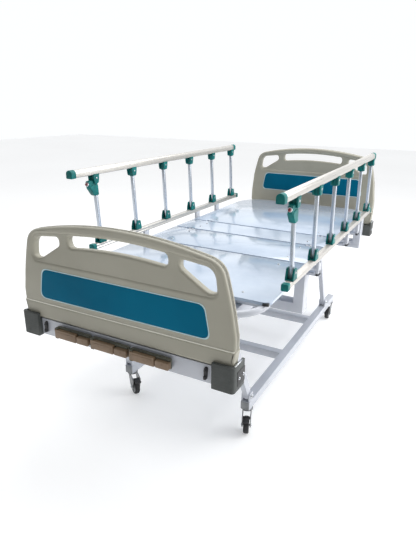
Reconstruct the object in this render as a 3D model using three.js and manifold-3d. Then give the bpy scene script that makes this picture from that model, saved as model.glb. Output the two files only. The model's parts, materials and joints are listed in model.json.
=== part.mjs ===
// Three-crank adjustable hospital bed. Millimetres, +Z up, +Y towards the head,
// +X to the right when seen from the foot. The origin is on the floor, under the middle.
import * as THREE from 'three';
import { mergeVertices } from 'three/addons/utils/BufferGeometryUtils.js';
import Module from 'manifold-3d';

const wasm = await Module();
wasm.setup();

// ---- driving dimensions -------------------------------------------------------------
const boardSpan = 2220; // outer face to outer face of the two end boards
const deckWidth = 880;
const deckTop = 677; // deck surface above the floor, as set here

const jointGap = 0.3; // between pieces that are bolted face to face
const runningGap = 0.5; // radial, between a pin and its bore
const partGap = 2; // beside a piece that moves past another

// deck sections, from foot to head
const thighHingeY = -23; // thigh and seat share this line
const thighLength = 300;
const seatLength = 202;
const deckFootGap = 252; // calf panel to the footboard
const deckHeadGap = 93; // back panel to the headboard
const panelThickness = 12;
const panelGap = 14; // open line between two panels
const backCornerRadius = 200;
const calfCornerRadius = 34;
const sectionTube = 25; // square tube under the panels
const sectionHalf = 325; // outside of the section frames
const crossTubeInset = 120; // section cross tube from the free end
const hingeDrop = 8; // deck surface to the two seat hinges
const hingeEye = 8;
const hingePinRadius = 4;
const hingeNotch = 12; // into the panels beside a seat hinge
const knuckleThickness = 8;
const knuckleGap = 11; // to the frame's ear
const calfEye = 10;
const calfBarInset = 24; // calf hinge to the calf frame's first cross tube
const leverWidth = 24;
const leverEnd = 12; // below the drive line
const leverThickness = 10;
const bowRadius = 13.5; // round mattress bow beyond the calf panel
const bowReach = 172; // how far it stands beyond the panel
const bowInset = 25; // from the deck's edge

// upper frame
const frameTubeWidth = 40;
const frameTubeHeight = 50;
const frameInset = 5; // long tubes, from the base frame's outer face
const sectionClearance = 4;
const beamDepth = 56;
const beamHeight = 66;
const beamDrop = 187; // deck surface to the underside of the end beams
const beamHoleGap = 1;
const hoopTube = 45;
const hoopInset = 26; // from the deck's edge
const hoopDrop = 243; // deck surface to the underside of a hoop
const hoopFootY = -280;
const hoopHeadInset = 180; // from the headboard's outer face
const hoopLength = 70; // along the bed
const earThickness = 8;
const earReach = 22;

// end boards
const boardThickness = 42;
const boardLift = 4; // above the end beam
const boardWaist = deckWidth / 2 + 7;
const boardFoot = boardWaist - 9;
const boardNeck = boardWaist - 27;
const boardShoulder = boardWaist - 43;
const waistHeight = 70;
const neckHeight = 245;
const shoulderHeight = 338;
const crownHeight = 388;
const headboardRise = 95; // the headboard's extra skirt
const slotHalf = 205; // hand slot
const slotLow = 297;
const slotHigh = 342;
const slotBow = 10;
const columnWidth = 41; // between the hand slot and a side opening
const rimWidth = 69;
const sideLow = 238;
const sideHigh = 331;
const sideStep = 31; // height of the side opening's inner edge
const inlayLow = 88;
const inlayHigh = 200;
const inlayMargin = 90;
const inlaySlant = 21;
const inlayThickness = 1.7;
const recessDepth = 2;
const pegInset = 120; // from the board's lower corner
const pegWidth = 24;
const pegDepth = 20;
const pegLength = 60;

// corner bumpers
const bumperInner = 66; // inwards from the board's foot
const bumperOuter = 14; // outwards
const bumperWall = 10; // beside the board
const footBumperProud = 16; // beyond the footboard's outer face
const headBumperProud = 29.4;
const bumperBack = 66; // behind the board's outer face
const bumperLow = 190; // below the deck surface
const bumperHigh = 99;
const bumperRound = 14;

// board latches
const latchInset = 92; // from the board's lower corner
const latchWidth = 13;
const latchHeight = 44;
const latchDepth = 9;
const latchPin = 4;

// cranks and drives
const crankGap = 8; // between two arms in line
const crankRowX = -30; // middle crank
const crankDrop = 150; // deck surface to the spindle line
const armHalf = 81;
const armHeight = 42;
const armThickness = 8;
const gripThickness = 19.4;
const gripHeight = 32;
const gripShare = 0.65; // of the arm's length
const gripPivotInset = 10;
const hubGap = 4;
const gripEar = 4.5;
const spindleRadius = 9;
const spindleLength = 312; // behind the arm
const driveRadius = 15;
const driveStart = 160; // tube mouth behind the board's outer face
const driveBore = 252;
const driveGap = 16; // tube end to its lever
const liftDriveLength = 262;

// base frame
const baseHalf = 325;
const baseTube = 40;
const baseFootY = -679;
const baseHeadY = 717;
const baseCrossYs = [-185, 290];
const casterInset = 28;

// hi-lo frames
const liftLean = 27; // degrees from upright, tops towards the foot
const liftFootInset = 21; // lower pivots from the ends of the base
const liftHeadInset = 204;
const liftEye = 18;
const liftBar = 30;
const liftWidth = 24;
const liftPin = 8;
const lugThickness = 6;
const lugGap = 1;
const liftTopDrop = 129; // deck surface to the upper pivots
const liftBottomRise = 22; // base tube to the lower pivots
const tieRadius = 17;
const tieShare = 0.32; // of the arm's length, from its top
const gussetReach = 46;

// casters
const wheelRadius = 37.5;
const wheelWidth = 24;
const wheelTrail = 34;
const wheelClearance = 23; // above the wheel, to the crown
const crownThickness = 7;
const crownRadius = 25;
const axleRadius = 5;
const stemRadius = 7;
const stemLength = 26;
const forkPlate = 4;
const forkGap = 3.5;
const pedalTrail = 50;
const pedalClearance = 9; // above the wheel
const pedalLength = 38;
const pedalThickness = 5;
const pedalPin = 3;
const pedalBarrel = 6;
const casterTurns = { foot_right: 20, foot_left: 55, head_right: 4, head_left: -30 };

// side rails
const railGap = 26; // deck edge to the rail's centre plane
const postCount = 6;
const postPitch = 276;
const rightPostStart = -678;
const leftPostStart = -631;
const postThickness = 16;
const postRound = 5;
const lowerPivotRise = 80; // above the deck
const railReach = 268; // lower to upper pivot
const postLean = 20; // upper pivot nearer the foot
const postTail = 24;
const postHead = 9;
const lowerRailWidth = 26;
const lowerRailHeight = 26;
const lowerRailRise = 27; // above the deck
const lowerRailFoot = 62; // beyond the first post
const lowerRailHead = 83;
const topRailWidth = 28;
const topRailHeight = 32;
const topRailFoot = 143;
const topRailHead = 40;
const topRailGap = 13; // upper pivot to the rail's underside
const cheekThickness = 6;
const cheekLength = 36;
const cheekTop = 18;
const cheekPin = 4;
const socketLength = 32;
const socketDrop = 18;
const bracketYs = [264, 525]; // on the long tubes; one more stands on the foot hoop
const bracketWidth = 40;
const bracketPlate = 14;
const bracketDrop = 2; // below the long tubes' top
const lockDrop = 8; // below the upper pivot
const lockHeight = 70;
const lockReach = 38;
const lockCheek = 1; // past the post on each side
const buttonRadius = 6.5;
const buttonProud = 7;
const buttonDepth = 10;

// ---- derived places -----------------------------------------------------------------
const boardOuterY = boardSpan / 2;
const hoopYs = [hoopFootY, boardOuterY - hoopHeadInset];
const hoopHalf = deckWidth / 2 - hoopInset;
const bowHalf = deckWidth / 2 - bowInset;
const frameHalf = baseHalf - frameInset;
const pegX = boardFoot - pegInset;
const latchX = boardFoot - latchInset;
const crankPitch = 2 * armHalf + crankGap;
const pedalZ = 2 * wheelRadius + pedalClearance;
const lockWidth = postThickness + 2 * lockCheek;
const boardInnerY = boardOuterY - boardThickness;
const seatHingeY = thighHingeY + seatLength;
const calfHingeY = thighHingeY - thighLength;
const deckFootY = -boardInnerY + deckFootGap;
const deckHeadY = boardInnerY - deckHeadGap;
const panelBottom = deckTop - panelThickness;
const sectionTop = panelBottom - jointGap;
const sectionBottom = sectionTop - sectionTube;
const tubeZ = sectionTop - sectionTube / 2; // the calf hinge is on this line too
const hingeZ = deckTop - hingeDrop;
const frameTop = sectionBottom - sectionClearance;
const frameBottom = frameTop - frameTubeHeight;
const beamBottom = deckTop - beamDrop;
const beamTop = beamBottom + beamHeight;
const boardBottom = beamTop + boardLift;
const crankZ = deckTop - crankDrop;
const crankXs = [-1, 0, 1].map((n) => crankRowX + n * crankPitch);
const armBackY = -boardOuterY - partGap;
const earX = sectionHalf + knuckleThickness + knuckleGap; // inner face of the hinge ears
const beamFrontY = boardOuterY - 4;
const beamBackY = beamFrontY - beamDepth;
const casterHeight = 2 * wheelRadius + wheelClearance + crownThickness + 1;
const baseTop = casterHeight + baseTube;
const baseRailX = baseHalf - baseTube / 2;
const liftBottomZ = baseTop + liftBottomRise;
const liftTopZ = deckTop - liftTopDrop;
const liftFootY = baseFootY + liftFootInset;
const liftHeadY = baseHeadY - liftHeadInset;
const liftShift = (liftTopZ - liftBottomZ) * Math.tan(THREE.MathUtils.degToRad(liftLean));
const railX = deckWidth / 2 + railGap;
const lowerPivotZ = deckTop + lowerPivotRise;
const postRise = Math.sqrt(railReach ** 2 - postLean ** 2);
const upperPivotZ = lowerPivotZ + postRise;
const lowerRailBottom = deckTop + lowerRailRise;
const lowerRailTop = lowerRailBottom + lowerRailHeight;
const slotWidth = postThickness + 2 * partGap;

// ---- materials ----------------------------------------------------------------------
function finish(color, roughness, metalness) {
  return () => new THREE.MeshStandardMaterial({ color, roughness, metalness });
}

const finishes = {
  frameWhite: finish(0xd2d6da, 0.4, 0.2),
  boardPlastic: finish(0xa19e90, 0.55, 0),
  inlayBlue: finish(0x006090, 0.35, 0),
  deckWhite: finish(0xdde6ee, 0.2, 0),
  bumperGrey: finish(0x4f5452, 0.6, 0),
  crankBrown: finish(0x80664f, 0.5, 0),
  crankDark: finish(0x33342c, 0.5, 0.3),
  steel: finish(0xb0b3b6, 0.3, 0.9),
  aluminium: finish(0xd9d6cf, 0.3, 0.8),
  black: finish(0x1c1d1f, 0.6, 0),
  wheelGrey: finish(0x3a3b3d, 0.6, 0),
  buttonRed: finish(0x8a1c24, 0.4, 0),
};

// ---- solids -------------------------------------------------------------------------
function solid(geometry) {
  const bare = geometry.clone();
  bare.deleteAttribute('normal');
  bare.deleteAttribute('uv');
  const merged = mergeVertices(bare, 1e-4);
  return new wasm.Manifold(new wasm.Mesh({
    numProp: 3,
    vertProperties: new Float32Array(merged.attributes.position.array),
    triVerts: new Uint32Array(merged.index.array),
  }));
}

function join(...pieces) {
  return pieces.reduce((whole, piece) => whole.add(piece));
}

function cut(whole, ...tools) {
  return tools.reduce((left, tool) => left.subtract(tool), whole);
}

// A box between two corners, each given as low and high on one axis.
function block([x0, x1], [y0, y1], [z0, z1]) {
  const geometry = new THREE.BoxGeometry(Math.abs(x1 - x0), Math.abs(y1 - y0), Math.abs(z1 - z0));
  geometry.translate((x0 + x1) / 2, (y0 + y1) / 2, (z0 + z1) / 2);
  return solid(geometry);
}

// A round bar between two points.
function rod(radius, from, to, sides = 12) {
  const start = new THREE.Vector3(...from);
  const along = new THREE.Vector3(...to).sub(start);
  const geometry = new THREE.CylinderGeometry(radius, radius, along.length(), sides);
  geometry.translate(0, along.length() / 2, 0);
  geometry.applyQuaternion(new THREE.Quaternion().setFromUnitVectors(
    new THREE.Vector3(0, 1, 0),
    along.clone().normalize(),
  ));
  geometry.translate(start.x, start.y, start.z);
  return solid(geometry);
}

// A closed outline through corners [u, v, round], each rounded off by its third number.
function outline(corners) {
  const shape = new THREE.Shape();
  corners.forEach(([u, v, round], i) => {
    const corner = new THREE.Vector2(u, v);
    const before = new THREE.Vector2(...corners.at(i - 1).slice(0, 2));
    const after = new THREE.Vector2(...corners[(i + 1) % corners.length].slice(0, 2));
    const start = before.sub(corner).setLength(round || 0).add(corner);
    const end = after.sub(corner).setLength(round || 0).add(corner);
    if (i === 0) shape.moveTo(start.x, start.y);
    else shape.lineTo(start.x, start.y);
    if (round) shape.quadraticCurveTo(u, v, end.x, end.y);
  });
  shape.closePath();
  return shape;
}

function rectangle([u0, u1], [v0, v1], round = 0) {
  return outline([[u0, v0, round], [u1, v0, round], [u1, v1, round], [u0, v1, round]]);
}

function extrude(shape, depth, curveSegments = 4) {
  return new THREE.ExtrudeGeometry(shape, { depth, bevelEnabled: false, curveSegments });
}

// Outlines drawn in x and y, raised along z.
function raised(shape, [z0, z1], curveSegments) {
  return solid(extrude(shape, z1 - z0, curveSegments).translate(0, 0, z0));
}

// Outlines drawn in x and z, carried along y.
function carriedY(shape, [y0, y1], curveSegments) {
  const geometry = extrude(shape, y1 - y0, curveSegments).rotateX(Math.PI / 2);
  return solid(geometry.translate(0, y1, 0));
}

// Outlines drawn in y and z, carried along x.
function carriedX(shape, [x0, x1], curveSegments) {
  const turn = new THREE.Matrix4().makeBasis(
    new THREE.Vector3(0, 1, 0),
    new THREE.Vector3(0, 0, 1),
    new THREE.Vector3(1, 0, 0),
  );
  const geometry = extrude(shape, x1 - x0, curveSegments).applyMatrix4(turn);
  return solid(geometry.translate(x0, 0, 0));
}

function mirrored(piece) {
  return piece.scale([-1, 1, 1]);
}

function bothSides(piece) {
  return join(piece, mirrored(piece));
}

const bed = new THREE.Group();

function addPart(name, piece, material) {
  const { vertProperties, triVerts } = piece.getMesh();
  const geometry = new THREE.BufferGeometry();
  geometry.setAttribute('position', new THREE.BufferAttribute(vertProperties, 3));
  geometry.setIndex(new THREE.BufferAttribute(triVerts, 1));
  geometry.computeVertexNormals();
  const mesh = new THREE.Mesh(geometry, material());
  mesh.name = name;
  bed.add(mesh);
  return mesh;
}

// ---- base frame and hi-lo frames ----------------------------------------------------
// Two plates that hold an eye between them, with the pin that runs through it.
function lugPair(x, y, z, wallZ) {
  const inner = liftWidth / 2 + lugGap;
  const outer = inner + lugThickness;
  const low = Math.min(z - liftEye, wallZ);
  const high = Math.max(z + liftEye, wallZ);
  const plate = rectangle([y - liftEye, y + liftEye], [low, high], 8);
  return join(
    carriedX(plate, [x - outer, x - inner], 2),
    carriedX(plate, [x + inner, x + outer], 2),
    rod(liftPin, [x - outer, y, z], [x + outer, y, z]),
  );
}

function casterPlaces() {
  const footY = baseFootY + casterInset;
  const headY = baseHeadY - casterInset;
  return {
    foot_right: [baseRailX, footY],
    foot_left: [-baseRailX, footY],
    head_right: [baseRailX, headY],
    head_left: [-baseRailX, headY],
  };
}

function baseFrame() {
  const rail = block([baseHalf - baseTube, baseHalf], [baseFootY, baseHeadY], [casterHeight, baseTop]);
  const bars = baseCrossYs.map((y) => block(
    [-baseRailX, baseRailX],
    [y - baseTube / 2, y + baseTube / 2],
    [casterHeight, baseTop],
  ));
  const lugs = [liftFootY, liftHeadY].map((y) => lugPair(baseRailX, y, liftBottomZ, baseTop - 4));
  const bores = Object.values(casterPlaces()).map(([x, y]) => rod(
    stemRadius + runningGap,
    [x, y, casterHeight - 1],
    [x, y, casterHeight + stemLength + 2],
  ));
  return cut(join(bothSides(join(rail, ...lugs)), ...bars), ...bores);
}

function liftFrame(bottomY) {
  const topY = bottomY - liftShift;
  const along = new THREE.Vector2(topY - bottomY, liftTopZ - liftBottomZ).normalize();
  const across = new THREE.Vector2(-along.y, along.x).multiplyScalar(liftBar / 2);
  const bottom = new THREE.Vector2(bottomY, liftBottomZ);
  const top = new THREE.Vector2(topY, liftTopZ);
  const corners = [
    bottom.clone().add(across),
    bottom.clone().sub(across),
    top.clone().sub(across),
    top.clone().add(across),
  ].map((p) => [p.x, p.y]);
  const walls = [baseRailX - liftWidth / 2, baseRailX + liftWidth / 2];
  const eyes = [bottom, top].map((p) => rod(liftEye, [walls[0], p.x, p.y], [walls[1], p.x, p.y], 16));
  const bores = [bottom, top].map((p) => rod(
    liftPin + runningGap,
    [walls[0] - 1, p.x, p.y],
    [walls[1] + 1, p.x, p.y],
  ));
  const arm = cut(join(carriedX(outline(corners), walls), ...eyes), ...bores);
  const tie = top.clone().lerp(bottom, tieShare);
  return join(bothSides(arm), rod(tieRadius, [-baseRailX, tie.x, tie.y], [baseRailX, tie.x, tie.y]));
}

// ---- casters ------------------------------------------------------------------------
// Each caster is drawn with its stem on the origin and its wheel trailing towards -Y.
function casterFork() {
  const wall = wheelWidth / 2 + forkGap;
  const axleY = -wheelTrail;
  const pedalY = -pedalTrail;
  const crownBottom = casterHeight - 1 - crownThickness;
  const leg = outline([
    [14, crownBottom + 2],
    [-24, crownBottom + 2],
    [pedalY - 8, pedalZ + 4, 4],
    [pedalY - 8, pedalZ - 8, 4],
    [axleY - 10, wheelRadius - 10, 8],
    [axleY + 10, wheelRadius - 10, 8],
  ]);
  return join(
    carriedX(leg, [wall, wall + forkPlate], 3),
    carriedX(leg, [-wall - forkPlate, -wall], 3),
    rod(crownRadius, [0, 0, crownBottom], [0, 0, casterHeight - 1], 16),
    rod(stemRadius, [0, 0, crownBottom], [0, 0, casterHeight + stemLength]),
    rod(axleRadius, [-wall - forkPlate, axleY, wheelRadius], [wall + forkPlate, axleY, wheelRadius]),
    rod(pedalPin, [-wall - 1, pedalY, pedalZ], [wall + 1, pedalY, pedalZ], 10),
  );
}

function casterWheel() {
  const half = wheelWidth / 2;
  const bore = axleRadius + runningGap;
  const profile = [
    [bore, -half],
    [wheelRadius - 4, -half],
    [wheelRadius, -half + 5],
    [wheelRadius, half - 5],
    [wheelRadius - 4, half],
    [bore, half],
    [bore, -half],
  ].map(([r, y]) => new THREE.Vector2(r, y));
  const wheel = new THREE.LatheGeometry(profile, 24).rotateZ(Math.PI / 2);
  return solid(wheel.translate(0, -wheelTrail, wheelRadius));
}

function brakePedal() {
  const half = wheelWidth / 2 + forkGap - runningGap;
  const z = pedalZ;
  const tread = rectangle(
    [-half + 1, half - 1],
    [-pedalTrail - pedalLength, -pedalTrail],
    6,
  );
  const pedal = join(
    rod(pedalBarrel, [-half, -pedalTrail, z], [half, -pedalTrail, z]),
    raised(tread, [z - pedalThickness / 2, z + pedalThickness / 2], 3),
  );
  return cut(pedal, rod(
    pedalPin + runningGap,
    [-half - 1, -pedalTrail, z],
    [half + 1, -pedalTrail, z],
    10,
  ));
}

// ---- upper frame --------------------------------------------------------------------
function hoop(y) {
  const low = deckTop - hoopDrop;
  const outer = rectangle([-hoopHalf, hoopHalf], [low, frameTop]);
  const hole = rectangle([-hoopHalf + hoopTube, hoopHalf - hoopTube], [low + hoopTube, frameBottom]);
  outer.holes.push(hole);
  return carriedY(outer, [y - hoopLength / 2, y + hoopLength / 2]);
}

// The end beam, drawn at the foot. Its holes take the board's pegs and the spindles.
function endBeam(holeXs) {
  const inner = boardFoot - bumperInner - jointGap;
  const stub = block(
    [frameHalf - frameTubeWidth, frameHalf],
    [-beamBackY - 14, -beamBackY + 26],
    [beamBottom, frameTop],
  );
  const beam = join(
    block([-inner, inner], [-beamFrontY, -beamBackY], [beamBottom, beamTop]),
    bothSides(stub),
  );
  const pegHoles = [-pegX, pegX].map((x) => pegBlock(x, beamHoleGap, beamBottom - 1, beamTop + 1));
  const bores = holeXs.map((x) => rod(
    spindleRadius + beamHoleGap,
    [x, -beamFrontY - 1, crankZ],
    [x, -beamBackY + 1, crankZ],
  ));
  return cut(beam, ...pegHoles, ...bores);
}

// A round-topped plate that carries a seat hinge, flush with the deck surface.
function knuckle(y, faces) {
  return join(
    block(faces, [y - hingeEye, y + hingeEye], [sectionBottom + 4, hingeZ]),
    rod(hingeEye, [faces[0], y, hingeZ], [faces[1], y, hingeZ], 16),
  );
}

function upperFrame() {
  const longTube = block(
    [frameHalf - frameTubeWidth, frameHalf],
    [-beamBackY - 14, beamBackY + 14],
    [frameBottom, frameTop],
  );
  const earPlate = rectangle(
    [thighHingeY - earReach, seatHingeY + earReach],
    [frameBottom, sectionTop],
    10,
  );
  const ears = join(
    carriedX(earPlate, [earX, earX + earThickness], 3),
    ...[thighHingeY, seatHingeY].map((y) => knuckle(y, [earX, earX + earThickness])),
  );
  const bores = [thighHingeY, seatHingeY].map((y) => rod(
    hingePinRadius + runningGap,
    [earX - 1, y, hingeZ],
    [earX + earThickness + 1, y, hingeZ],
  ));
  const seatBearer = block(
    [frameHalf - frameTubeWidth, earX + 1],
    [thighHingeY + 40, seatHingeY - 40],
    [frameBottom, sectionTop],
  );
  const lugs = [liftFootY, liftHeadY].map((y) => lugPair(
    baseRailX,
    y - liftShift,
    liftTopZ,
    frameBottom + 4,
  ));
  const gussets = [liftFootY, liftHeadY].map((y) => carriedX(outline([
    [y - liftShift - liftEye - gussetReach, frameBottom + 4],
    [y - liftShift - liftEye + 6, liftTopZ - liftEye + 8],
    [y - liftShift - liftEye + 6, frameBottom + 4],
  ]), [baseRailX + liftWidth / 2 + lugGap, baseRailX + liftWidth / 2 + lugGap + lugThickness]));
  const seatBars = [thighHingeY + 60, seatHingeY - 60].map((y) => block(
    [-frameHalf, frameHalf],
    [y - 15, y + 15],
    [frameBottom, frameTop],
  ));
  const foot = endBeam(crankXs);
  const head = endBeam([]).scale([1, -1, 1]);
  const side = join(longTube, cut(ears, ...bores), seatBearer, ...lugs, ...gussets);
  return join(bothSides(side), ...seatBars, ...hoopYs.map(hoop), foot, head);
}

// ---- deck ---------------------------------------------------------------------------
function panel(footY, headY, footRound, headRound) {
  const half = deckWidth / 2;
  const shape = outline([
    [-half, footY, footRound],
    [half, footY, footRound],
    [half, headY, headRound],
    [-half, headY, headRound],
  ]);
  const across = [sectionHalf - 4, earX + earThickness + 5];
  const through = [panelBottom - 1, deckTop + 1];
  const past = panelGap / 2 + hingeNotch;
  const notches = [
    block(across, [thighHingeY - past, thighHingeY + hingeNotch], through),
    block(across, [seatHingeY - hingeNotch, seatHingeY + past], through),
  ];
  return cut(raised(shape, [panelBottom, deckTop], 8), ...notches.map(bothSides));
}

// Two side tubes between startY and endY, with cross tubes at barYs.
function sectionFrame(startY, endY, barYs) {
  const side = block(
    [sectionHalf - sectionTube, sectionHalf],
    [startY, endY],
    [sectionBottom, sectionTop],
  );
  const bars = barYs.map((y) => block(
    [-sectionHalf, sectionHalf],
    [y - sectionTube / 2, y + sectionTube / 2],
    [sectionBottom, sectionTop],
  ));
  return join(bothSides(side), ...bars);
}

function hingePins(y, z, [start, end]) {
  return bothSides(rod(hingePinRadius, [start, y, z], [end, y, z]));
}

// A section that swings on the seat hinges, with the lever its push tube works on.
function swungFrame(hingeY, freeY, leverX) {
  const towards = Math.sign(freeY - hingeY);
  const outer = sectionHalf + knuckleThickness;
  const leverShape = rectangle(
    [hingeY - leverWidth / 2, hingeY + leverWidth / 2],
    [crankZ - leverEnd, sectionTop - 4],
    8,
  );
  return join(
    sectionFrame(hingeY - (towards * sectionTube) / 2, freeY, [hingeY, freeY - towards * crossTubeInset]),
    bothSides(knuckle(hingeY, [sectionHalf - 1, outer])),
    hingePins(hingeY, hingeZ, [outer - 1, earX + earThickness + 2]),
    carriedX(leverShape, [leverX - leverThickness / 2, leverX + leverThickness / 2], 3),
  );
}

function backFrame() {
  return swungFrame(seatHingeY, deckHeadY - backCornerRadius / 2, crankXs[0]);
}

// The calf hangs on a pair of ears at the thigh frame's free end.
function calfEar() {
  const inner = sectionHalf + partGap;
  const outer = inner + earThickness;
  return cut(
    join(
      rod(calfEye, [inner, calfHingeY, tubeZ], [outer, calfHingeY, tubeZ], 16),
      block([inner, outer], [calfHingeY, calfHingeY + 40], [tubeZ - calfEye, tubeZ + calfEye]),
      block([sectionHalf - 2, inner + 1], [calfHingeY + 26, calfHingeY + 40], [sectionBottom, sectionTop]),
    ),
    rod(hingePinRadius + runningGap, [inner - 1, calfHingeY, tubeZ], [outer + 1, calfHingeY, tubeZ]),
  );
}

function thighFrame() {
  return join(swungFrame(thighHingeY, calfHingeY + sectionTube, crankXs[2]), bothSides(calfEar()));
}

class BowCurve extends THREE.Curve {
  getPoint(t, target = new THREE.Vector3()) {
    const angle = Math.PI * t;
    const x = -bowHalf * Math.cos(angle);
    const y = deckFootY + 40 - (bowReach + 40) * Math.sin(angle) ** 0.8;
    return target.set(x, y, sectionTop - bowRadius);
  }
}

function bow() {
  const section = new THREE.Shape();
  section.absarc(0, 0, bowRadius, 0, 2 * Math.PI);
  const geometry = new THREE.ExtrudeGeometry(section, {
    steps: 28,
    bevelEnabled: false,
    curveSegments: 5,
    extrudePath: new BowCurve(),
  });
  return solid(geometry);
}

function calfFrame() {
  const barY = deckFootY + 44;
  const endY = deckFootY + 40;
  return join(
    sectionFrame(calfHingeY + 5, endY, [calfHingeY - calfBarInset, endY + crossTubeInset]),
    hingePins(calfHingeY, tubeZ, [sectionHalf - 1, sectionHalf + partGap + earThickness + 2]),
    bow(),
    block(
      [-bowHalf - 6, bowHalf + 6],
      [barY - sectionTube / 2, barY + sectionTube / 2],
      [sectionBottom, sectionTop],
    ),
  );
}

// ---- end boards ---------------------------------------------------------------------
function pegBlock(x, gap, low, high) {
  const middle = -boardOuterY + boardThickness / 2;
  return block(
    [x - pegWidth / 2 - gap, x + pegWidth / 2 + gap],
    [middle - pegDepth / 2 - gap, middle + pegDepth / 2 + gap],
    [low, high],
  );
}

// The board's outer shape above its lower edge, with its upper part raised by rise.
function boardShape(rise) {
  const shape = new THREE.Shape();
  const crownEnd = boardShoulder - 56;
  const crownEndHeight = shoulderHeight + 12;
  const shoulderLow = shoulderHeight - 45 + rise;
  shape.moveTo(-boardFoot + 12, 0);
  shape.lineTo(boardFoot - 12, 0);
  shape.quadraticCurveTo(boardFoot, 0, boardFoot + 1, 12);
  shape.quadraticCurveTo(boardWaist, waistHeight, boardWaist - 2, waistHeight + 40 + rise / 2);
  shape.lineTo(boardNeck + 12, neckHeight - 60 + rise);
  shape.quadraticCurveTo(boardNeck, neckHeight + rise, boardShoulder + 2, shoulderLow);
  shape.quadraticCurveTo(boardShoulder - 8, shoulderHeight + rise, crownEnd, crownEndHeight + rise);
  shape.quadraticCurveTo(0, 2 * crownHeight - crownEndHeight + rise, -crownEnd, crownEndHeight + rise);
  shape.quadraticCurveTo(-boardShoulder + 8, shoulderHeight + rise, -boardShoulder - 2, shoulderLow);
  shape.quadraticCurveTo(-boardNeck, neckHeight + rise, -boardNeck - 12, neckHeight - 60 + rise);
  shape.lineTo(-boardWaist + 2, waistHeight + 40 + rise / 2);
  shape.quadraticCurveTo(-boardWaist, waistHeight, -boardFoot - 1, 12);
  shape.quadraticCurveTo(-boardFoot, 0, -boardFoot + 12, 0);
  return shape;
}

function handSlot(rise) {
  const shape = new THREE.Shape();
  const end = slotHalf - 20;
  const low = slotLow + rise;
  const high = slotHigh + rise;
  const middle = (low + high) / 2;
  shape.moveTo(-end, low);
  shape.quadraticCurveTo(0, low + 2 * slotBow, end, low);
  shape.quadraticCurveTo(slotHalf, low, slotHalf, middle);
  shape.quadraticCurveTo(slotHalf, high, end, high);
  shape.quadraticCurveTo(0, high + 2 * slotBow, -end, high);
  shape.quadraticCurveTo(-slotHalf, high, -slotHalf, middle);
  shape.quadraticCurveTo(-slotHalf, low, -end, low);
  return shape;
}

function sideOpening(rise) {
  const inner = slotHalf + columnWidth;
  const outer = boardWaist - rimWidth;
  return outline([
    [inner + 4, sideHigh + rise, 16],
    [inner, sideHigh - sideStep + rise, 14],
    [outer - 33, sideLow + rise, 14],
    [outer, sideLow + rise, 18],
    [outer - 10, sideHigh - 13 + rise, 36],
  ]);
}

function inlayShape(rise, margin) {
  const bottom = boardWaist - inlayMargin + margin;
  const top = bottom - inlaySlant;
  return outline([
    [-bottom, inlayLow - margin + rise, 24],
    [bottom, inlayLow - margin + rise, 24],
    [top, inlayHigh + margin + rise, 24],
    [-top, inlayHigh + margin + rise, 24],
  ]);
}

// A board and its inlay, drawn at the foot with the inlay in the face towards -Y.
function endBoard(rise) {
  const faces = [-boardOuterY, -boardOuterY + boardThickness];
  const past = [faces[0] - 1, faces[1] + 1];
  const side = carriedY(sideOpening(rise), past);
  const board = cut(
    carriedY(boardShape(rise), faces, 6),
    carriedY(handSlot(rise), past),
    side,
    mirrored(side),
    carriedY(inlayShape(rise, jointGap), [faces[0] - 1, faces[0] + recessDepth]),
  );
  const pegs = [-pegX, pegX].map((x) => pegBlock(x, 0, -pegLength, 6));
  return join(board, ...pegs).translate([0, 0, boardBottom]);
}

function inlay(rise) {
  const back = -boardOuterY + recessDepth - jointGap;
  return carriedY(inlayShape(rise, 0), [back - inlayThickness, back]).translate([0, 0, boardBottom]);
}

function headward(piece) {
  return piece.translate([0, boardSpan - boardThickness, 0]);
}

// Drawn at the foot; proud is how far it stands beyond the board.
function bumper(proud) {
  const outer = boardFoot + bumperOuter;
  const inner = boardFoot - bumperInner;
  const low = deckTop - bumperLow;
  const high = deckTop - bumperHigh;
  const shape = outline([
    [inner, -boardOuterY - proud, 4],
    [outer, -boardOuterY - proud, bumperRound],
    [outer, -boardOuterY + bumperBack, 4],
    [inner, -boardOuterY + bumperBack, 4],
  ]);
  const seat = block(
    [inner - 1, outer - bumperWall],
    [-boardOuterY - partGap, -boardOuterY + bumperBack + 1],
    [boardBottom - partGap, high + 1],
  );
  return cut(raised(shape, [low, high], 4), seat);
}

function latch(x) {
  const faceY = -beamFrontY - runningGap;
  const top = beamTop - 8;
  const shape = rectangle([x - latchWidth / 2, x + latchWidth / 2], [top - latchHeight, top], 5);
  return carriedY(shape, [faceY - latchDepth, faceY], 3);
}

// ---- cranks and drives --------------------------------------------------------------
function crank(x) {
  const front = armBackY - armThickness;
  const faceY = front - gripThickness;
  const low = crankZ - gripHeight / 2;
  const high = crankZ + gripHeight / 2;
  const hubStart = x - armHalf + 2 * armHalf * gripShare + hubGap;
  const pivotX = x - armHalf + gripPivotInset;
  const arm = rectangle([x - armHalf, x + armHalf], [crankZ - armHeight / 2, crankZ + armHeight / 2], 6);
  const ear = [pivotX - 7, pivotX + 7];
  const earDepth = [faceY + 3, front + 1];
  const parts = join(
    carriedY(arm, [front, armBackY], 3),
    carriedY(rectangle([hubStart, x + armHalf], [low, high], 6), [faceY, front + 1], 3),
    block(ear, earDepth, [high + runningGap, high + runningGap + gripEar]),
    block(ear, earDepth, [low - runningGap - gripEar, low - runningGap]),
    rod(3, [pivotX, front - gripThickness / 2, low - 1], [pivotX, front - gripThickness / 2, high + 1], 10),
  );
  return join(parts, rod(spindleRadius, [x, armBackY - 1, crankZ], [x, armBackY + spindleLength, crankZ]));
}

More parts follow.
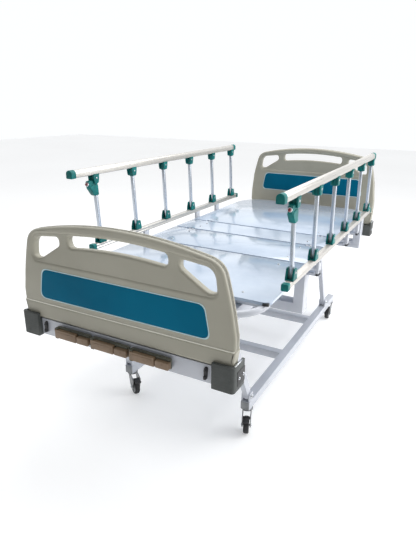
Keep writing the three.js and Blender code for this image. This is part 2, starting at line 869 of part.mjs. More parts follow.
function grip(x) {
  const front = armBackY - armThickness;
  const round = gripThickness / 2 - jointGap;
  const pivot = [x - armHalf + gripPivotInset, front - gripThickness / 2];
  const end = x - armHalf + 2 * armHalf * gripShare;
  const low = crankZ - gripHeight / 2;
  const high = crankZ + gripHeight / 2;
  const bar = raised(
    rectangle([pivot[0], end], [pivot[1] - round, pivot[1] + round], 5),
    [low, high],
    3,
  );
  const heel = rod(round, [...pivot, low], [...pivot, high], 16);
  const square = block([pivot[0], pivot[0] + 8], [pivot[1] - round, pivot[1] + round], [low, high]);
  return cut(join(bar, heel, square), rod(3 + runningGap, [...pivot, low - 1], [...pivot, high + 1], 10));
}

// A push tube whose bore runs over its spindle.
function driveTube(x, endY) {
  const startY = -boardOuterY + driveStart;
  const boreEnd = startY + driveBore;
  return cut(
    rod(driveRadius, [x, startY, crankZ], [x, endY, crankZ], 16),
    rod(spindleRadius + 2, [x, startY - 1, crankZ], [x, boreEnd, crankZ]),
  );
}

// ---- side rails, drawn on the right -------------------------------------------------
function slotPair(y, pivotZ, [low, high], length) {
  const inner = slotWidth / 2;
  const outer = inner + cheekThickness;
  const along = [y - length / 2, y + length / 2];
  return join(
    block([railX - outer, railX - inner], along, [low, high]),
    block([railX + inner, railX + outer], along, [low, high]),
    rod(cheekPin, [railX - inner - 1, y, pivotZ], [railX + inner + 1, y, pivotZ], 8),
  );
}

function postYs(start) {
  return Array.from({ length: postCount }, (_, i) => start + i * postPitch);
}

function lowerRail(start) {
  const ys = postYs(start);
  const rail = carriedY(
    rectangle(
      [railX - lowerRailWidth / 2, railX + lowerRailWidth / 2],
      [lowerRailBottom, lowerRailTop],
      6,
    ),
    [start - lowerRailFoot, ys.at(-1) + lowerRailHead],
    3,
  );
  const cheekHeights = [lowerRailTop - 4, lowerPivotZ + cheekTop];
  const cheeks = ys.map((y) => slotPair(y, lowerPivotZ, cheekHeights, cheekLength));
  const upright = railX - lowerRailWidth / 2 + 1;
  const armTop = frameTop - bracketDrop;
  const bracket = (y, innerX) => join(
    block(
      [innerX + jointGap, upright + bracketPlate],
      [y - bracketWidth / 2, y + bracketWidth / 2],
      [armTop - bracketPlate, armTop],
    ),
    block(
      [upright, upright + bracketPlate],
      [y - bracketWidth / 2, y + bracketWidth / 2],
      [armTop - bracketPlate, lowerRailBottom + 4],
    ),
  );
  const brackets = [bracket(hoopYs[0], hoopHalf), ...bracketYs.map((y) => bracket(y, frameHalf))];
  return join(rail, ...cheeks, ...brackets);
}

function topRail(start) {
  const ys = postYs(start).map((y) => y - postLean);
  const low = upperPivotZ + topRailGap;
  const half = topRailWidth / 2;
  const shape = new THREE.Shape();
  shape.moveTo(railX - half, low + 3);
  shape.lineTo(railX - half + 3, low);
  shape.lineTo(railX + half - 3, low);
  shape.lineTo(railX + half, low + 3);
  shape.lineTo(railX + half, low + topRailHeight - half);
  shape.absarc(railX, low + topRailHeight - half, half, 0, Math.PI, false);
  shape.closePath();
  const rail = carriedY(shape, [ys[0] - topRailFoot, ys.at(-1) + topRailHead], 8);
  const sockets = ys.map((y) => slotPair(y, upperPivotZ, [upperPivotZ - socketDrop, low + 4], socketLength));
  return join(rail, ...sockets);
}

// A post between its two pivots, upright first and then leant towards the foot.
function post(start, index) {
  const y = start + index * postPitch;
  const half = postThickness / 2;
  const section = rectangle([railX - half, railX + half], [y - half, y + half], postRound);
  const reach = railReach;
  const bores = [0, reach].map((z) => rod(
    cheekPin + runningGap,
    [railX - half - 1, y, lowerPivotZ + z],
    [railX + half + 1, y, lowerPivotZ + z],
    8,
  ));
  const bar = raised(section, [lowerPivotZ - postTail, lowerPivotZ + reach + postHead], 2);
  const body = index === 0 ? join(bar, lockHousing(y)) : bar;
  return leant(cut(body, ...bores), y);
}

function leant(piece, y) {
  const turned = THREE.MathUtils.radToDeg(Math.asin(postLean / railReach));
  return piece.translate([0, -y, -lowerPivotZ]).rotate([turned, 0, 0]).translate([0, y, lowerPivotZ]);
}

function lockHousing(y) {
  const high = lowerPivotZ + railReach - lockDrop;
  const reach = y - postThickness / 2 - lockReach;
  const shape = outline([
    [y + postThickness / 2 + 3, high, 3],
    [reach, high, 8],
    [reach, high - 26, 8],
    [y - postThickness / 2 - 8, high - lockHeight, 5],
    [y + postThickness / 2 + 3, high - lockHeight, 5],
  ]);
  const body = carriedX(shape, [railX - lockWidth / 2, railX + lockWidth / 2], 3);
  return cut(body, rod(
    buttonRadius + runningGap,
    [railX, reach - 1, high - 13],
    [railX, reach + buttonDepth + 5, high - 13],
  ));
}

function lockButton(start) {
  const high = lowerPivotZ + railReach - lockDrop;
  const reach = start - postThickness / 2 - lockReach;
  const button = rod(
    buttonRadius,
    [railX, reach - buttonProud, high - 13],
    [railX, reach + buttonDepth - 1, high - 13],
  );
  return leant(button, start);
}

// ---- assembly -----------------------------------------------------------------------
addPart('base_frame', baseFrame(), finishes.frameWhite);
addPart('foot_lift_frame', liftFrame(liftFootY), finishes.frameWhite);
addPart('head_lift_frame', liftFrame(liftHeadY), finishes.frameWhite);

for (const [place, [x, y]] of Object.entries(casterPlaces())) {
  const set = (piece) => piece.rotate([0, 0, casterTurns[place]]).translate([x, y, 0]);
  addPart(`caster_fork_${place}`, set(casterFork()), finishes.steel);
  addPart(`caster_wheel_${place}`, set(casterWheel()), finishes.wheelGrey);
  addPart(`brake_pedal_${place}`, set(brakePedal()), finishes.black);
}

addPart('upper_frame', upperFrame(), finishes.frameWhite);
addPart('bumper_foot_right', bumper(footBumperProud), finishes.bumperGrey);
addPart('bumper_foot_left', mirrored(bumper(footBumperProud)), finishes.bumperGrey);
addPart('bumper_head_right', bumper(headBumperProud).scale([1, -1, 1]), finishes.bumperGrey);
addPart('bumper_head_left', bumper(headBumperProud).scale([-1, -1, 1]), finishes.bumperGrey);
addPart('footboard', endBoard(0), finishes.boardPlastic);
addPart('footboard_inlay', inlay(0), finishes.inlayBlue);
addPart('headboard', headward(endBoard(headboardRise)), finishes.boardPlastic);
addPart('headboard_inlay', headward(inlay(headboardRise)), finishes.inlayBlue);
addPart('board_latch_right', latch(latchX), finishes.black);
addPart('board_latch_left', latch(-latchX), finishes.black);

const halfGap = panelGap / 2;
addPart('back_panel', panel(seatHingeY + halfGap, deckHeadY, 0, backCornerRadius), finishes.deckWhite);
addPart('seat_panel', panel(thighHingeY + halfGap, seatHingeY - halfGap, 0, 0), finishes.deckWhite);
addPart('thigh_panel', panel(calfHingeY + halfGap, thighHingeY - halfGap, 0, 0), finishes.deckWhite);
addPart('calf_panel', panel(deckFootY, calfHingeY - halfGap, calfCornerRadius, 0), finishes.deckWhite);
addPart('back_frame', backFrame(), finishes.frameWhite);
addPart('thigh_frame', thighFrame(), finishes.frameWhite);
addPart('calf_frame', calfFrame(), finishes.frameWhite);

const leverFace = leverWidth / 2 + driveGap;
const drives = {
  back: seatHingeY - leverFace,
  height: -boardOuterY + driveStart + liftDriveLength,
  knee: thighHingeY - leverFace,
};
Object.entries(drives).forEach(([section, endY], i) => {
  addPart(`${section}_crank`, crank(crankXs[i]), finishes.crankDark);
  addPart(`${section}_crank_grip`, grip(crankXs[i]), finishes.crankBrown);
  addPart(`${section}_drive_tube`, driveTube(crankXs[i], endY), finishes.steel);
});

const railSides = {
  right: [rightPostStart, (piece) => piece],
  left: [leftPostStart, mirrored],
};
for (const [side, [start, place]] of Object.entries(railSides)) {
  addPart(`${side}_lower_rail`, place(lowerRail(start)), finishes.aluminium);
  addPart(`${side}_top_rail`, place(topRail(start)), finishes.aluminium);
  for (let i = 0; i < postCount; i += 1) {
    addPart(`${side}_post_${i + 1}`, place(post(start, i)), finishes.aluminium);
  }
  addPart(`${side}_lock_button`, place(lockButton(start)), finishes.buttonRed);
}

export default bed;
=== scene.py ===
import json
from math import asin, cos, pi, radians, sin

import bmesh
import bpy
from mathutils import Matrix, Vector


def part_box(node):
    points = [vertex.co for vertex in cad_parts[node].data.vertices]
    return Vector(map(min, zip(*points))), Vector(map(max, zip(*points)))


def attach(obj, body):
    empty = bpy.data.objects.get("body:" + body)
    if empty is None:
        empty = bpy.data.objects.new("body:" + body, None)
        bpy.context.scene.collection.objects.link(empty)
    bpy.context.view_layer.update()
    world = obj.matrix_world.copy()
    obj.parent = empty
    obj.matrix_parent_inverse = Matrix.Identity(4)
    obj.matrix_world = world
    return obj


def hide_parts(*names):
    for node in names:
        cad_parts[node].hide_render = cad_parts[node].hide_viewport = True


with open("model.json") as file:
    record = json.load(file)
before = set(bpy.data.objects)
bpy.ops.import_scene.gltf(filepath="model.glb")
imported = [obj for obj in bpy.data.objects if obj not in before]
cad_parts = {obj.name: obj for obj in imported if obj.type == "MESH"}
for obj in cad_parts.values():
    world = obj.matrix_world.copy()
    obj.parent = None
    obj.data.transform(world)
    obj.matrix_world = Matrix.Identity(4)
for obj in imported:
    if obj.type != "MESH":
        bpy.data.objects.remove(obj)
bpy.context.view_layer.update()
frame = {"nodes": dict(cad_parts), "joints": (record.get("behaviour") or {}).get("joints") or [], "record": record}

nodes = frame["nodes"]
body_of = {node: body for body, group in frame["record"]["behaviour"]["bodies"].items() for node in group}
joint_at = {joint["name"]: Vector(joint["pos_m"]) for joint in frame["joints"] if "pos_m" in joint}
MM = 0.001

# ---- camera -------------------------------------------------------------------------
YAW, PITCH, ROLL = 0.48917, 0.34890, 0.01030
level_right = Vector((cos(YAW), sin(YAW), 0))
forward = Vector((-sin(YAW) * cos(PITCH), cos(YAW) * cos(PITCH), -sin(PITCH)))
level_up = level_right.cross(forward)
right = cos(ROLL) * level_right + sin(ROLL) * level_up
up = cos(ROLL) * level_up - sin(ROLL) * level_right
lens = bpy.data.cameras.new("bedside_camera")
lens.sensor_width = 36
lens.lens = 31.24
camera = bpy.data.objects.new("bedside_camera", lens)
turn = Matrix((right, up, -forward)).transposed().to_4x4()
camera.matrix_world = Matrix.Translation((0.9772, -2.2878, 1.3391)) @ turn
bpy.context.scene.collection.objects.link(camera)
bpy.context.scene.camera = camera


# ---- finishes -----------------------------------------------------------------------
def node_in(tree, kind, **settings):
    made = tree.nodes.new("ShaderNode" + kind)
    for key, value in settings.items():
        if key in made.inputs:
            made.inputs[key].default_value = value
        else:
            setattr(made, key, value)
    return made


def noise(tree, place, scale, detail=3.0, stretch=(1, 1, 1)):
    """Noise on the object's own coordinates, drawn out along an axis where stretch is small."""
    mapped = node_in(tree, "Mapping", Scale=stretch)
    tree.links.new(place.outputs["Object"], mapped.inputs["Vector"])
    made = node_in(tree, "TexNoise", Scale=scale, Detail=detail, Roughness=0.55)
    tree.links.new(mapped.outputs["Vector"], made.inputs["Vector"])
    return made.outputs["Fac"]


def between(tree, value, low, high, new_low, new_high):
    """A value moved from one range to another, and held inside the new one."""
    made = node_in(tree, "MapRange")
    for index, number in enumerate((low, high, new_low, new_high), 1):
        made.inputs[index].default_value = number
    tree.links.new(value, made.inputs[0])
    return made.outputs[0]


def finish(name, shade, light, rough, metal=0.0, mottle=4.0, grain=420.0, bump=0.06,
           stretch=(1, 1, 1), coat=0.0, spread=0.08, specks=0.0, speck_colour=(0.1, 0.1, 0.1), shine=0.5):
    """A surface whose colour drifts from shade to light, with a grain, uneven gloss and a few specks."""
    material = bpy.data.materials.new(name)
    material.use_nodes = True
    tree = material.node_tree
    shader = tree.nodes["Principled BSDF"]
    place = node_in(tree, "TexCoord")
    drift = node_in(tree, "ValToRGB")
    drift.color_ramp.elements[0].position = 0.36
    drift.color_ramp.elements[0].color = (*shade, 1)
    drift.color_ramp.elements[1].position = 0.64
    drift.color_ramp.elements[1].color = (*light, 1)
    tree.links.new(noise(tree, place, mottle, 4.0, stretch), drift.inputs["Fac"])
    colour = drift.outputs["Color"]
    if specks:
        blend = node_in(tree, "Mix", data_type="RGBA")
        blend.inputs[7].default_value = (*speck_colour, 1)
        spots = between(tree, noise(tree, place, 75.0, 5.0, stretch), 0.66, 0.74, 0.0, specks)
        tree.links.new(spots, blend.inputs[0])
        tree.links.new(colour, blend.inputs[6])
        colour = blend.outputs[2]
    tree.links.new(colour, shader.inputs["Base Color"])
    gloss = noise(tree, place, mottle * 7, 5.0, stretch)
    uneven = between(tree, gloss, 0.3, 0.7, rough - spread / 2, rough + spread)
    tree.links.new(uneven, shader.inputs["Roughness"])
    relief = node_in(tree, "Bump", Strength=bump, Distance=0.001)
    tree.links.new(noise(tree, place, grain, 2.0, stretch), relief.inputs["Height"])
    tree.links.new(relief.outputs["Normal"], shader.inputs["Normal"])
    shader.inputs["Metallic"].default_value = metal
    shader.inputs["Specular IOR Level"].default_value = shine
    shader.inputs["Coat Weight"].default_value = coat
    shader.inputs["Coat Roughness"].default_value = 0.12
    return material


ALONG_BED = (1, 0.02, 1)
looks = {
    "frame_paint": finish("powder_coat", (0.47, 0.49, 0.54), (0.55, 0.57, 0.62), 0.34, grain=260, bump=0.10,
                          coat=0.25, specks=0.10, speck_colour=(0.40, 0.41, 0.42)),
    "board_plastic": finish("moulded_beige", (0.36, 0.345, 0.28), (0.405, 0.39, 0.32), 0.46, mottle=3,
                            grain=520, bump=0.12, specks=0.06, speck_colour=(0.38, 0.37, 0.31)),
    # Lit copy of the board plastic for the ridge along the board: its pale colour is a painted highlight.
    "board_ridge_highlight": finish("moulded_highlight", (0.74, 0.73, 0.64), (0.82, 0.81, 0.72), 0.40, grain=520,
                         bump=0.08),
    "inlay_blue": finish("blue_laminate", (0.000, 0.105, 0.190), (0.000, 0.140, 0.245), 0.50, mottle=2.2,
                         grain=700, bump=0.05, shine=0.06),
    "inlay_border": finish("pale_border", (0.48, 0.68, 0.72), (0.56, 0.74, 0.78), 0.35, grain=600, bump=0.05),
    "deck_white": finish("deck_gloss", (0.36, 0.44, 0.56), (0.47, 0.55, 0.66), 0.11, mottle=3.2, grain=140,
                         bump=0.05, coat=0.55, spread=0.08),
    "bumper_grey": finish("bumper_rubber", (0.052, 0.058, 0.055), (0.080, 0.087, 0.083), 0.62, mottle=9,
                          grain=380, bump=0.22, specks=0.35, speck_colour=(0.20, 0.21, 0.20)),
    "crank_brown": finish("crank_plastic", (0.190, 0.125, 0.075), (0.250, 0.170, 0.105), 0.42, mottle=14,
                          grain=480, bump=0.12, specks=0.25, speck_colour=(0.18, 0.115, 0.07)),
    "crank_dark": finish("crank_arm_paint", (0.070, 0.070, 0.052), (0.120, 0.118, 0.088), 0.44, mottle=16,
                         grain=320, bump=0.14, specks=0.20, speck_colour=(0.16, 0.15, 0.11)),
    "steel": finish("zinc_plate", (0.50, 0.52, 0.55), (0.66, 0.68, 0.70), 0.24, metal=1.0, mottle=22,
                    grain=300, bump=0.08, spread=0.14, specks=0.20, speck_colour=(0.36, 0.36, 0.35)),
    "fork_steel": finish("fork_plate", (0.20, 0.205, 0.21), (0.34, 0.345, 0.35), 0.36, metal=0.85,
                         mottle=22, grain=300, bump=0.08, spread=0.14, specks=0.20,
                         speck_colour=(0.12, 0.12, 0.12)),
    "rail_aluminium": finish("anodised_rail", (0.47, 0.45, 0.42), (0.60, 0.58, 0.54), 0.30, metal=0.55,
                             mottle=30, grain=900, bump=0.10, stretch=ALONG_BED, spread=0.10, coat=0.20),
    "post_aluminium": finish("anodised_post", (0.46, 0.50, 0.56), (0.62, 0.66, 0.72), 0.28, metal=0.8,
                             mottle=34, grain=900, bump=0.10, stretch=(1, 1, 0.03), spread=0.12),
    "teal_plastic": finish("teal_plastic", (0.000, 0.110, 0.105), (0.002, 0.185, 0.178), 0.42, mottle=30,
                           grain=520, bump=0.10, shine=0.25),
    "black_plastic": finish("black_plastic", (0.012, 0.012, 0.013), (0.026, 0.026, 0.028), 0.48, mottle=18,
                            grain=480, bump=0.14, specks=0.25, speck_colour=(0.07, 0.07, 0.07)),
    "wheel_tread": finish("caster_rubber", (0.010, 0.010, 0.011), (0.030, 0.030, 0.031), 0.62, mottle=26,
                          grain=300, bump=0.25, specks=0.45, speck_colour=(0.12, 0.115, 0.105)),
    "wheel_hub": finish("hub_plastic", (0.23, 0.24, 0.25), (0.33, 0.34, 0.35), 0.42, mottle=24, grain=420,
                        bump=0.10, specks=0.25, speck_colour=(0.14, 0.14, 0.14)),
    "button_red": finish("red_button", (0.13, 0.006, 0.014), (0.22, 0.012, 0.022), 0.32, mottle=30, grain=420,
                         bump=0.06, coat=0.3),
}


# ---- shapes -------------------------------------------------------------------------
def settled(shape, crisp=38):
    """The finished mesh of a shape, smooth across gentle angles and crisp across sharp ones."""
    for face in shape.faces:
        face.smooth = True
    for edge in shape.edges:
        edge.smooth = len(edge.link_faces) != 2 or edge.calc_face_angle(0) < radians(crisp)
    mesh = bpy.data.meshes.new("shape")
    shape.to_mesh(mesh)
    shape.free()
    return mesh


def softened(shape, width, shortest=0.0, segments=2, least=50):
    """Rounds the edges that turn more than the least angle and are at least as long as shortest."""
    edges = [
        edge for edge in shape.edges
        if len(edge.link_faces) == 2
        and edge.calc_face_angle(0) > radians(least)
        and edge.calc_length() > shortest
    ]
    bmesh.ops.bevel(shape, geom=edges, offset=width, offset_type="OFFSET", segments=segments, profile=0.5,
                    affect="EDGES", clamp_overlap=True, material=-1)
    return shape


def block(low, high, edge=0.0015, segments=2):
    """A block between two corners, with rounded edges."""
    low, high = Vector(low), Vector(high)
    shape = bmesh.new()
    bmesh.ops.create_cube(shape, size=1)
    size = Vector(abs(b - a) for a, b in zip(low, high))
    bmesh.ops.scale(shape, vec=size, verts=shape.verts)
    bmesh.ops.translate(shape, vec=(low + high) / 2, verts=shape.verts)
    return settled(softened(shape, edge, segments=segments))


def bar(radius, start, end, edge=0.0008, sides=24, end_radius=None):
    """A round bar between two points, with eased rims."""
    start, end = Vector(start), Vector(end)
    shape = bmesh.new()
    bmesh.ops.create_cone(shape, cap_ends=True, segments=sides, radius1=radius, depth=(end - start).length,
                          radius2=radius if end_radius is None else end_radius)
    if edge:
        softened(shape, edge, least=55)
    along = (end - start).to_track_quat("Z", "Y").to_matrix().to_4x4()
    bmesh.ops.transform(shape, matrix=Matrix.Translation((start + end) / 2) @ along, verts=shape.verts)
    return settled(shape)


def spun(profile, centre, axis, steps=40):
    """A closed outline of (radius, height) points turned all the way round an axis."""
    shape = bmesh.new()
    points = [shape.verts.new((radius, 0, height)) for radius, height in profile]
    edges = [shape.edges.new((points[i - 1], points[i])) for i in range(len(points))]
    bmesh.ops.spin(shape, geom=points + edges, cent=(0, 0, 0), axis=(0, 0, 1), angle=2 * pi, steps=steps,
                   use_merge=True)
    bmesh.ops.remove_doubles(shape, verts=shape.verts, dist=1e-6)
    bmesh.ops.recalc_face_normals(shape, faces=shape.faces)
    place = Matrix.Translation(centre) @ Vector(axis).to_track_quat("Z", "Y").to_matrix().to_4x4()
    bmesh.ops.transform(shape, matrix=place, verts=shape.verts)
    return settled(shape)


AXES = {
    "x": Matrix(((0, 0, 1), (1, 0, 0), (0, 1, 0))),
    "y": Matrix(((1, 0, 0), (0, 0, -1), (0, 1, 0))),
    "z": Matrix(((1, 0, 0), (0, 1, 0), (0, 0, 1))),
}


def winding(loop):
    return sum(a[0] * b[1] - b[0] * a[1] for a, b in zip(loop, loop[1:] + loop[:1]))


def slab(loops, span, edge, across="y", rings=3):
    """An outline with its openings, given a thickness along one axis and rounded edges all the way round."""
    curve = bpy.data.curves.new("slab", "CURVE")
    curve.dimensions = "2D"
    curve.fill_mode = "BOTH"
    curve.extrude = abs(span[1] - span[0]) / 2 - edge
    curve.bevel_depth = edge
    curve.bevel_resolution = rings
    curve.offset = -edge
    for index, loop in enumerate(loops):
        if (winding(loop) > 0) != (index == 0):
            loop = loop[::-1]
        spline = curve.splines.new("POLY")
        spline.points.add(len(loop) - 1)
        for point, (u, v) in zip(spline.points, loop):
            point.co = (u, v, 0, 1)
        spline.use_cyclic_u = True
    holder = bpy.data.objects.new("slab", curve)
    bpy.context.scene.collection.objects.link(holder)
    bpy.context.view_layer.update()
    flat = bpy.data.meshes.new_from_object(holder.evaluated_get(bpy.context.evaluated_depsgraph_get()))
    bpy.data.objects.remove(holder)
    shape = bmesh.new()
    shape.from_mesh(flat)
    bmesh.ops.remove_doubles(shape, verts=shape.verts, dist=1e-6)
    bmesh.ops.recalc_face_normals(shape, faces=shape.faces)
    middle = {"x": (sum(span) / 2, 0, 0), "y": (0, sum(span) / 2, 0), "z": (0, 0, sum(span) / 2)}[across]
    place = Matrix.Translation(middle) @ AXES[across].to_4x4()
    bmesh.ops.transform(shape, matrix=place, verts=shape.verts)
    return settled(shape)


def path(start, *steps, count=9):
    """Points along lines (x, y) and quadratic bends (control x, control y, x, y)."""
    points = [Vector(start)]
    for step in steps:
        begin = points[-1]
        end = Vector(step[-2:])
        if len(step) == 2:
            points.append(end)
            continue
        bend = Vector(step[:2])
        for i in range(1, count + 1):
            t = i / count
            points.append(begin * (1 - t) ** 2 + bend * (2 * t * (1 - t)) + end * t ** 2)
    return points


def rounded(corners, count=6):
    """A closed outline through corners (u, v, round)."""
    points = []
    for i, (u, v, size) in enumerate(corners):
        corner = Vector((u, v))
        before = Vector(corners[i - 1][:2]) - corner
        after = Vector(corners[(i + 1) % len(corners)][:2]) - corner
        if size == 0:
            points.append(corner)
            continue
        points += path(corner + before.normalized() * size, (*corner, *(corner + after.normalized() * size)),
                       count=count)
    return points


def rectangle(u0, u1, v0, v1, size):
    return rounded([(u0, v0, size), (u1, v0, size), (u1, v1, size), (u0, v1, size)])


def both_halves(half):
    """A right half, from the middle line round to the middle line, completed with its mirror image."""
    left = [Vector((-p.x, p.y)) for p in reversed(half) if abs(p.x) > 1e-6]
    return half + left


def scaled(loop, lift=0.0):
    return [Vector((p.x * MM, p.y * MM + lift)) for p in loop]


def joined(shapes):
    whole = bmesh.new()
    for mesh in shapes:
        whole.from_mesh(mesh)
    mesh = bpy.data.meshes.new("piece")
    whole.to_mesh(mesh)
    whole.free()
    return mesh


def piece(name, shapes, look, body, replaced=()):
    """A finished piece that rides on a body and takes its finish from the table of looks."""
    made = bpy.data.objects.new(name, joined(shapes))
    bpy.context.scene.collection.objects.link(made)
    made.data.materials.append(looks[look])
    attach(made, body)
    if replaced:
        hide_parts(*replaced)
    return made


def from_node(node, width, shortest=0.02, segments=2):
    """The node's own shape, joined up, with its long edges rounded."""
    shape = bmesh.new()
    shape.from_mesh(nodes[node].data)
    bmesh.ops.remove_doubles(shape, verts=shape.verts, dist=2e-5)
    bmesh.ops.dissolve_limit(shape, angle_limit=radians(0.8), verts=shape.verts, edges=shape.edges)
    if width:
        softened(shape, width, shortest, segments)
    return settled(shape)


def dressed(node, look, width, shortest=0.02, extra=()):
    """A node shown in its own shape with rounded edges."""
    return piece(node + "_finished", [from_node(node, width, shortest), *extra], look, body_of[node], [node])


def middle(node):
    low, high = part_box(node)
    return (low + high) / 2


def screw(centre, axis, radius=0.004):
    """A domed screw head with a socket, standing on a face."""
    drop = radius * 0.35
    profile = [
        (0.0001, drop), (radius * 0.42, drop), (radius * 0.45, radius * 0.55), (radius * 0.75, radius * 0.5),
        (radius, radius * 0.15), (radius, -0.0004), (0.0001, -0.0004),
    ]
    return spun(profile, centre, axis, steps=14)


# ---- end boards ---------------------------------------------------------------------
FOOT, WAIST, NECK, SHOULDER = 438, 447, 420, 404
board_low, board_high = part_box("footboard")
BOARD_BOTTOM = board_low.z + 60 * MM
BOARD_THICK = board_high.y - board_low.y
RISES = {"foot": 0, "head": 95}
RIM_HALF = 0.0160  # half the thickness of the rim round the openings
FIELD_HALF = 0.0198  # and of the field under them
SKIRT_HALF = BOARD_THICK / 2 + 0.0002
RIDGE_HALF = SKIRT_HALF + 0.0009


def board_outline(rise):
    half = path(
        (0, 0),
        (FOOT - 12, 0),
        (FOOT, 0, FOOT + 1, 12),
        (WAIST, 70, WAIST - 2, 110 + rise / 2),
        (NECK + 12, 185 + rise),
        (NECK, 245 + rise, SHOULDER + 2, 293 + rise),
        (SHOULDER - 8, 338 + rise, SHOULDER - 56, 350 + rise),
        (174, 388 + rise, 0, 388 + rise),
        count=14,
    )
    return both_halves(half)


def hand_slot(rise, grow=0):
    low, high = 297 + rise - grow, 342 + rise + grow
    half = path(
        (0, low + 10),
        (92, low + 10, 185, low),
        (205 + grow, low, 205 + grow, (low + high) / 2),
        (205 + grow, high, 185, high),
        (92, high + 10, 0, high + 10),
        count=12,
    )
    return both_halves(half)


def side_opening(rise, side):
    corners = [
        (250, 331 + rise, 16), (246, 300 + rise, 14), (345, 238 + rise, 14), (378, 238 + rise, 18),
        (368, 318 + rise, 36),
    ]
    return rounded([(side * x, z, size) for x, z, size in corners], 8)


def recess(rise):
    """The shallow field under the hand slots, out to the openings' far edges."""
    half = path(
        (0, 231 + rise),
        (352, 229 + rise),
        (381, 229 + rise, 381, 254 + rise),
        (372, 300 + rise),
        (368, 335 + rise, 330, 335 + rise),
        (205, 346 + rise),
        (100, 355 + rise, 0, 355 + rise),
        count=10,
    )
    return both_halves(half)


def skirt(rise):
    high = 64 + rise * 0.25
    half = path((0, 0), (FOOT - 12, 0), (FOOT, 0, FOOT + 1, 12), (WAIST - 0.5, high - 2), (WAIST - 4, high),
                (0, high), count=8)
    return both_halves(half)


def inlay_outline(rise, grow=0):
    bottom = WAIST - 90 + grow
    low, high = 88 + rise - grow, 200 + rise + grow
    return rounded([
        (-bottom, low, 30), (bottom, low, 30), (bottom - 21, high, 26), (21 - bottom, high, 26),
    ], 8)


for end, rise in RISES.items():
    node = end + "board"
    face_low, face_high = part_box(node)[0].y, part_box(node)[1].y
    centre = (face_low + face_high) / 2
    openings = [hand_slot(rise), side_opening(rise, 1), side_opening(rise, -1)]
    up_to = [scaled(loop, BOARD_BOTTOM) for loop in [board_outline(rise), *openings]]
    body_loops = [up_to[0], scaled(recess(rise), BOARD_BOTTOM)]
    shapes = [
        slab(up_to, (centre - RIM_HALF, centre + RIM_HALF), 0.0085, rings=4),
        slab(body_loops, (centre - FIELD_HALF, centre + FIELD_HALF), 0.0100, rings=4),
        slab([scaled(skirt(rise), BOARD_BOTTOM)], (centre - SKIRT_HALF, centre + SKIRT_HALF), 0.0080,
             rings=4),
    ]
    for side in (-1, 1):
        shapes.append(block(
            (side * 0.306, centre - 0.010, BOARD_BOTTOM - 0.060),
            (side * 0.330, centre + 0.010, BOARD_BOTTOM + 0.012),
            0.002,
        ))
    piece(node + "_shell", shapes, "board_plastic", node, [node])
    # The ridge along the board is coloured pale: a painted highlight along the bead, not a different plastic.
    line = rectangle(-WAIST + 5, WAIST - 5, 61.8 + rise * 0.25, 66.2 + rise * 0.25, 1.6)
    ridge = slab([scaled(line, BOARD_BOTTOM)], (centre - RIDGE_HALF, centre + RIDGE_HALF), 0.0016)
    piece(node + "_ridge", [ridge], "board_ridge_highlight", node)
    for face, outward in (("foot_side", -1), ("head_side", 1)):
        surface = centre + outward * FIELD_HALF
        ring = [scaled(inlay_outline(rise, 4), BOARD_BOTTOM), scaled(inlay_outline(rise, 0.6), BOARD_BOTTOM)]
        piece(f"{node}_border_{face}", [slab(ring, (surface - 0.0012, surface + 0.0012), 0.0009)],
              "inlay_border", node)
        panel = slab([scaled(inlay_outline(rise), BOARD_BOTTOM)], (surface - 0.0009, surface + 0.0009),
                     0.0005)
        piece(f"{node}_inlay_{face}", [panel], "inlay_blue", node,
              [node + "_inlay"] if outward < 0 else ())

# ---- corner bumpers -----------------------------------------------------------------
for end, inward in (("foot", 1), ("head", -1)):
    for hand, side in (("right", 1), ("left", -1)):
        node = f"bumper_{end}_{hand}"
        low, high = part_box(node)
        outer = high.x if side > 0 else low.x
        front = low.y if inward > 0 else high.y
        ribs = [block((outer - side * 0.074, front - inward * 0.0002, low.z + 0.014 + i * 0.009),
                      (outer - side * 0.016, front + inward * 0.003, low.z + 0.018 + i * 0.009), 0.0008)
                for i in range(8)]
        dressed(node, "bumper_grey", 0.0045, 0.03)
        piece(node + "_ribs", ribs, "bumper_grey", "upper")
        plate_y = (low.y + high.y) / 2 + inward * 0.012
        plate = slab([rectangle(plate_y - 0.028, plate_y + 0.028, low.z + 0.014, high.z - 0.022, 0.006)],
                     sorted((outer - side * 0.001, outer + side * 0.0014)), 0.0007, "x")
        piece(node + "_plate", [plate], "black_plastic", "upper")
        bolts = [screw((outer + side * 0.0014, plate_y + dy, middle(node).z - 0.004), (side, 0, 0), 0.0055)
                 for dy in (-0.016, 0.016)]
        strip = block((outer - side * 0.0085, low.y + 0.014, high.z - 0.0006),
                      (outer - side * 0.0015, high.y - 0.014, high.z + 0.0012), 0.0005)
        piece(node + "_fittings", [*bolts, strip], "steel", "upper")

# ---- deck ---------------------------------------------------------------------------
for node in ("back_panel", "seat_panel", "thigh_panel", "calf_panel"):
    dressed(node, "deck_white", 0.0030, 0.008)

calf_low, calf_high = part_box("calf_panel")
for hand, side in (("right", 1), ("left", -1)):
    x = side * (calf_high.x - 0.016)
    plug = block((x - 0.012, calf_low.y - 0.0015, calf_low.z - 0.002),
                 (x + 0.012, calf_low.y + 0.011, calf_high.z - 0.003), 0.0022)
    piece(f"deck_corner_plug_{hand}", [plug], "black_plastic", "calf")

for node, edge in (
    ("base_frame", 0.003), ("upper_frame", 0.003), ("foot_lift_frame", 0.002), ("head_lift_frame", 0.002),
    ("back_frame", 0.002), ("thigh_frame", 0.002), ("calf_frame", 0.002),
):
    dressed(node, "frame_paint", edge, 0.024)

base_low, base_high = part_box("base_frame")
for end, y, out in (("foot", base_low.y, -1), ("head", base_high.y, 1)):
    for hand, side in (("right", 1), ("left", -1)):
        x = side * (base_high.x - 0.020)
        cap = block((x - 0.0185, y - 0.002, 0.1075), (x + 0.0185, y + 0.002, 0.1445), 0.0015)
        piece(f"base_plug_{end}_{hand}", [cap], "wheel_hub", "base")

